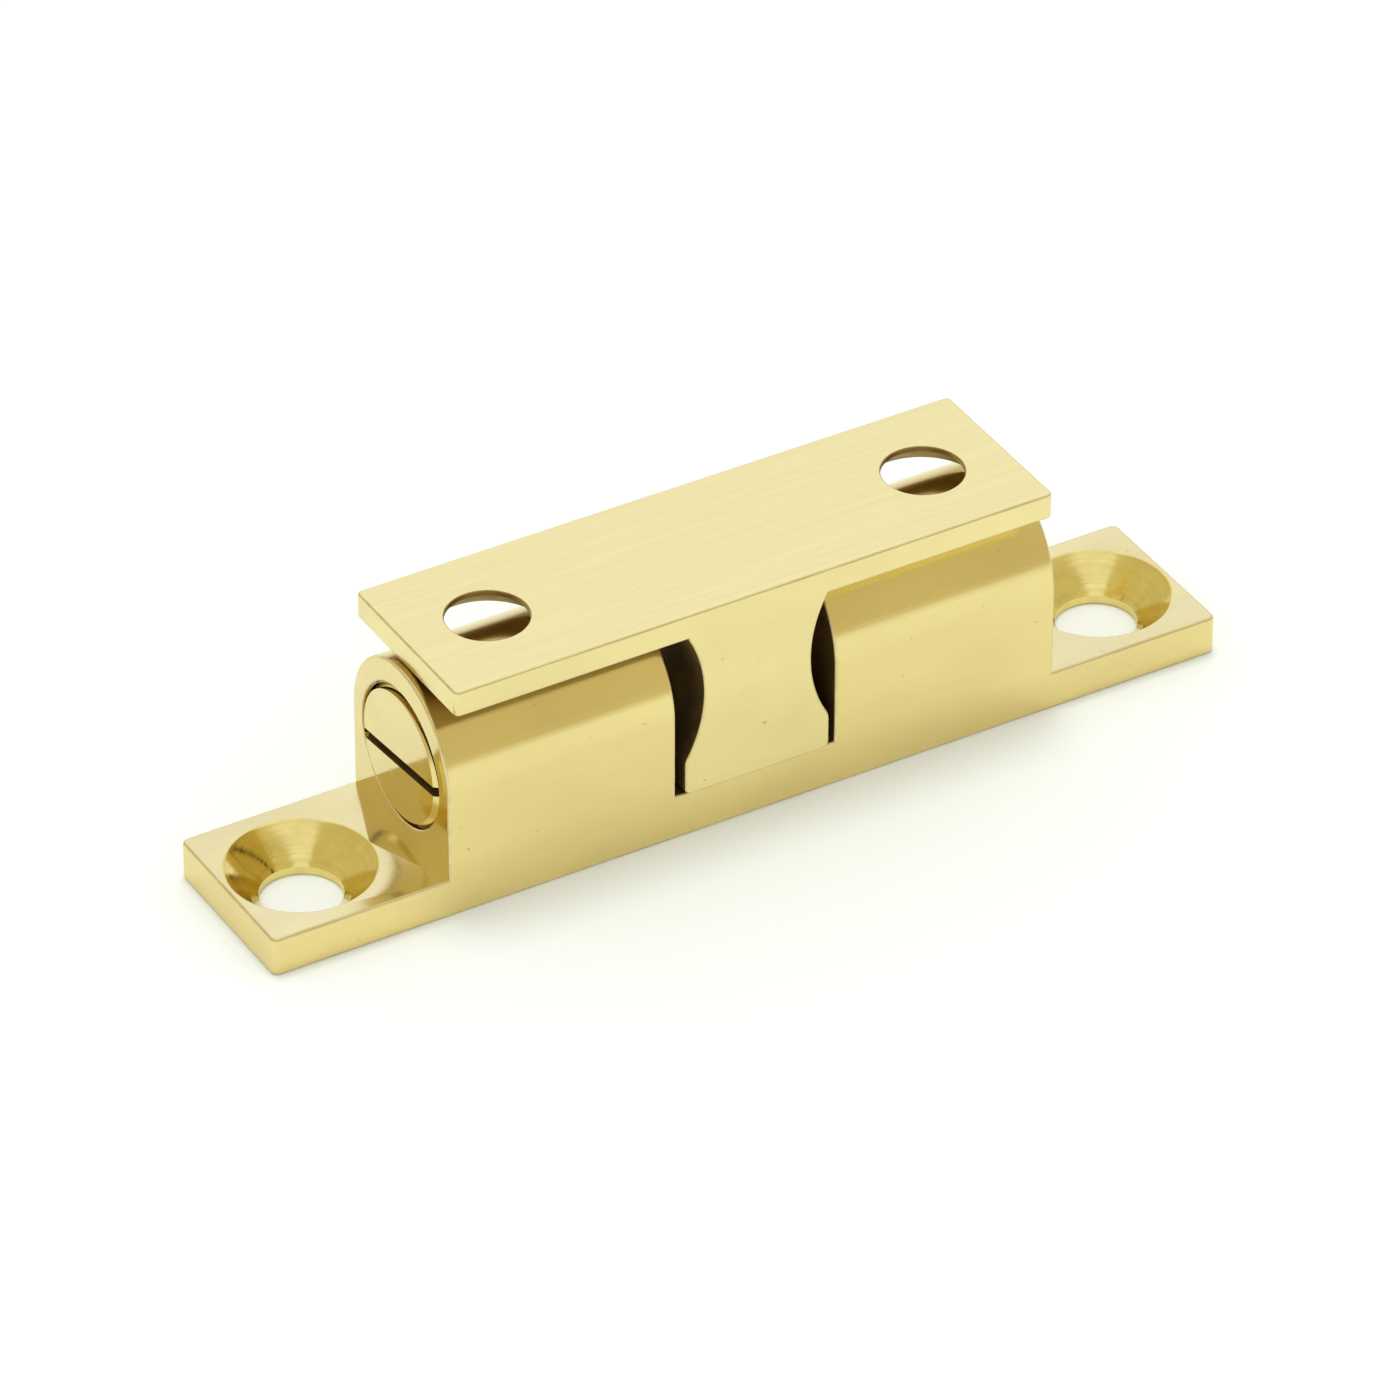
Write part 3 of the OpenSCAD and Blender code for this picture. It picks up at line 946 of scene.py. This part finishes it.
class BALLCATCH_OT_screws(bpy.types.Operator):
    """Model the two threaded adjusting screws with their driver slots"""

    bl_idname = "ball_catch.screws"
    bl_label = "Adjusting Screws"

    # The driver slot takes a dark colour that is painted shade
    FACE, THREAD, CUT = range(3)

    def execute(self, context):
        thread = context.scene.catch_thread
        colours = context.scene.catch_colours
        finishes = [
            polished_brass("polished_screw_faces", colours, colours.polished),
            satin_brass("screw_threads", colours, colours.satin, streak=(0.2, 0.2, 0.2)),
            # Painted shade: the driver slots get the dark colour
            shaded_cut_brass("driver_slots_painted_shade", colours, colours.cut),
        ]
        for side, turn in TURNS.items():
            node = f"{side}_adjusting_screw"
            bm = bmesh.new()
            self.blank(bm, thread)
            self.driver_slot(bm, thread)
            marked_sharp(bm)
            bmesh.ops.transform(bm, matrix=turn, verts=bm.verts[:])
            piece = new_piece(bm, f"{side}_slotted_screw", finishes, node, node)
            evened(piece)
        return {"FINISHED"}

    def blank(self, bm, thread):
        """The threaded plug, chamfered at both ends."""
        inner, outer = SCREW_LOW.x, SCREW_HIGH.x
        crest = thread.thread_radius - thread.clearance
        root = thread.bore_radius - thread.clearance
        end_radius = min(crest - thread.chamfer, root)

        def trim(along, radius):
            """Chamfers both ends."""
            return min(radius, end_radius + along - inner, end_radius + outer - along)

        faces, *rims = threaded(bm, inner, outer, root, crest, thread.pitch, trim)
        paint(faces, self.THREAD)
        for rim in rims:
            paint(bmesh.ops.contextual_create(bm, geom=rim)["faces"], self.FACE)
        bmesh.ops.recalc_face_normals(bm, faces=bm.faces[:])

    def driver_slot(self, bm, thread):
        """Mills a slot across the outer face."""
        floor = SCREW_HIGH.x - thread.driver_depth
        run = Vector((0, math.cos(thread.driver_tilt), math.sin(thread.driver_tilt)))
        wall = X_AXIS.cross(run)
        half = thread.driver_width / 2
        middle_line = BORE_AXIS - wall * thread.driver_drop

        def offset(point):
            """Distance of a point from the slot's middle line, across the slot."""
            return (point - middle_line).dot(wall)

        def is_milled(face):
            middle = face.calc_center_median()
            return middle.x > floor and abs(offset(middle)) < half

        walls = [(middle_line + wall * way * half, wall) for way in (-1, 1)]
        for place, normal in (*walls, (X_AXIS * floor, X_AXIS)):
            bmesh.ops.bisect_plane(
                bm, geom=bm.faces[:] + bm.edges[:] + bm.verts[:], dist=MERGE,
                plane_co=place, plane_no=normal,
            )
        bmesh.ops.delete(bm, geom=[face for face in bm.faces if is_milled(face)], context="FACES")
        feet = []
        for way in (-1, 1):
            rim = [
                edge for edge in bm.edges if edge.is_boundary
                and all(abs(offset(vert.co) - way * half) < MERGE for vert in edge.verts)
            ]
            ends = [vert for edge in rim for vert in edge.verts if abs(vert.co.x - floor) < MERGE]
            foot = bm.edges.new(ends)
            feet.append(foot)
            paint(bmesh.ops.contextual_create(bm, geom=rim + [foot])["faces"], self.CUT)
        ends = [edge for edge in bm.edges if edge.is_boundary and edge not in feet]
        paint(bmesh.ops.contextual_create(bm, geom=feet + ends)["faces"], self.CUT)


# Studio


def reckoned(tree, operation, first, second):
    """Adds an operation on two values to a tree and gives its result."""
    return add_node(tree, "ShaderNodeMath", {0: first, 1: second}, operation=operation).outputs[0]


def shown_share(tree):
    """1 for what the camera, a reflection or a see-through part shows, 0 for light on surfaces."""
    path = add_node(tree, "ShaderNodeLightPath").outputs
    share = path["Is Camera Ray"]
    for ray in ("Is Glossy Ray", "Is Transmission Ray"):
        share = reckoned(tree, "MAXIMUM", share, path[ray])
    return share


class BALLCATCH_OT_studio(bpy.types.Operator):
    """Set up the pale floor, the soft light, the white surroundings and the camera"""

    bl_idname = "ball_catch.studio"
    bl_label = "Studio"

    FLOOR_SIZE = 6.0
    FLOOR_ROUGHNESS = 0.9
    FLOOR_GLOW = 0.03
    NEAREST_SHOWN = 0.01
    KEY_WAY = Vector((0.03, 0.13, 1.0))
    ROOM_WAYS = ((0.35, -1, -0.5), (-1, 0.2, -0.3))
    ROOM_EDGE = (0.12, 0.22)  # how near to those ways the room starts and is at its full depth

    def execute(self, context):
        settings = context.scene.catch_studio
        context.scene.view_settings.view_transform = "Standard"
        self.floor(context.scene, settings)
        self.surroundings(context.scene, settings)
        self.key(context.scene, settings)
        self.camera(context.scene, settings)
        return {"FINISHED"}

    def floor(self, scene, settings):
        """A wide pale floor that keeps the object's shadow and shows white to the camera."""
        bm = bmesh.new()
        bmesh.ops.create_grid(bm, x_segments=1, y_segments=1, size=self.FLOOR_SIZE / 2)
        mesh = bpy.data.meshes.new("studio_floor")
        bm.to_mesh(mesh)
        bm.free()
        material = bpy.data.materials.new("pale_floor")
        material.use_nodes = True
        tree = material.node_tree
        shader = tree.nodes["Principled BSDF"]
        shader.inputs["Base Color"].default_value = (*settings.floor, 1)
        shader.inputs["Roughness"].default_value = self.FLOOR_ROUGHNESS
        shader.inputs["Specular IOR Level"].default_value = 0.0
        shader.inputs["Emission Color"].default_value = WHITE
        glow = reckoned(tree, "MULTIPLY", shown_share(tree), self.FLOOR_GLOW)
        tree.links.new(glow, shader.inputs["Emission Strength"])
        mesh.materials.append(material)
        floor = bpy.data.objects.new("studio_floor", mesh)
        scene.collection.objects.link(floor)

    def surroundings(self, scene, settings):
        """White all round, with a dimmer room in front and on the left that only reflections show."""
        scene.world = bpy.data.worlds.new("white_surroundings")
        scene.world.use_nodes = True
        tree = scene.world.node_tree
        strength = add_node(tree, "ShaderNodeMapRange", {
            "Value": shown_share(tree), "To Min": settings.fill_light, "To Max": 1.0,
        })
        way = add_node(tree, "ShaderNodeTexCoord").outputs["Generated"]
        toward = [
            add_node(tree, "ShaderNodeVectorMath", {0: way, 1: room_way}, operation="DOT_PRODUCT")
            for room_way in self.ROOM_WAYS
        ]
        nearest = reckoned(tree, "MAXIMUM", *(node.outputs["Value"] for node in toward))
        start, full = self.ROOM_EDGE
        depth = add_node(
            tree, "ShaderNodeMapRange", {"Value": nearest, "From Min": start, "From Max": full},
            interpolation_type="SMOOTHSTEP",
        )
        reflected = add_node(tree, "ShaderNodeLightPath").outputs["Is Glossy Ray"]
        share = reckoned(tree, "MULTIPLY", depth.outputs[0], reflected)
        inputs = {"Factor": share, "A": WHITE, "B": (*settings.room, 1)}
        room = add_node(tree, "ShaderNodeMix", inputs, data_type="RGBA")
        background = tree.nodes["Background"]
        tree.links.new(strength.outputs[0], background.inputs["Strength"])
        tree.links.new(room.outputs["Result"], background.inputs["Color"])

    def key(self, scene, settings):
        """A broad soft light from above and a little behind, the same all over the floor."""
        lamp = bpy.data.lights.new("soft_key", "SUN")
        lamp.energy = settings.key_strength
        lamp.angle = settings.key_spread
        key = bpy.data.objects.new("soft_key", lamp)
        key.location = self.KEY_WAY
        key.rotation_euler = (-self.KEY_WAY).to_track_quat("-Z", "Y").to_euler()
        key.visible_camera = False
        key.visible_glossy = False
        scene.collection.objects.link(key)

    def camera(self, scene, settings):
        """The camera, at the photograph's angle."""
        data = bpy.data.cameras.new("catch_camera")
        data.lens = settings.lens
        data.clip_start = self.NEAREST_SHOWN
        camera = bpy.data.objects.new("catch_camera", data)
        camera.location = settings.camera_place
        camera.rotation_euler = settings.camera_turn
        scene.collection.objects.link(camera)
        scene.camera = camera


class BALLCATCH_PT_panel(bpy.types.Panel):
    """The steps that make the ball catch"""

    bl_idname = "BALLCATCH_PT_panel"
    bl_label = "Ball Catch"
    bl_space_type = "VIEW_3D"
    bl_region_type = "UI"
    bl_category = "Ball Catch"

    def draw(self, context):
        for operator in OPERATORS:
            self.layout.operator(operator.bl_idname)


OPERATORS = (
    BALLCATCH_OT_studio,
    BALLCATCH_OT_body,
    BALLCATCH_OT_striker,
    BALLCATCH_OT_balls,
    BALLCATCH_OT_springs,
    BALLCATCH_OT_screws,
)
SETTINGS = {
    "catch_body": BodySizes,
    "catch_thread": ThreadSizes,
    "catch_striker": StrikerSizes,
    "catch_spring": SpringSizes,
    "catch_colours": FinishColours,
    "catch_studio": StudioSettings,
}


def register():
    for cls in (*SETTINGS.values(), *OPERATORS, BALLCATCH_PT_panel):
        bpy.utils.register_class(cls)
    for name, cls in SETTINGS.items():
        setattr(bpy.types.Scene, name, PointerProperty(type=cls))


def unregister():
    for name in SETTINGS:
        delattr(bpy.types.Scene, name)
    for cls in (BALLCATCH_PT_panel, *OPERATORS, *SETTINGS.values()):
        bpy.utils.unregister_class(cls)


def main():
    register()
    bpy.ops.ball_catch.studio()
    bpy.ops.ball_catch.body()
    bpy.ops.ball_catch.striker()
    bpy.ops.ball_catch.balls()
    bpy.ops.ball_catch.springs()
    bpy.ops.ball_catch.screws()


if __name__ == "__main__":
    main()
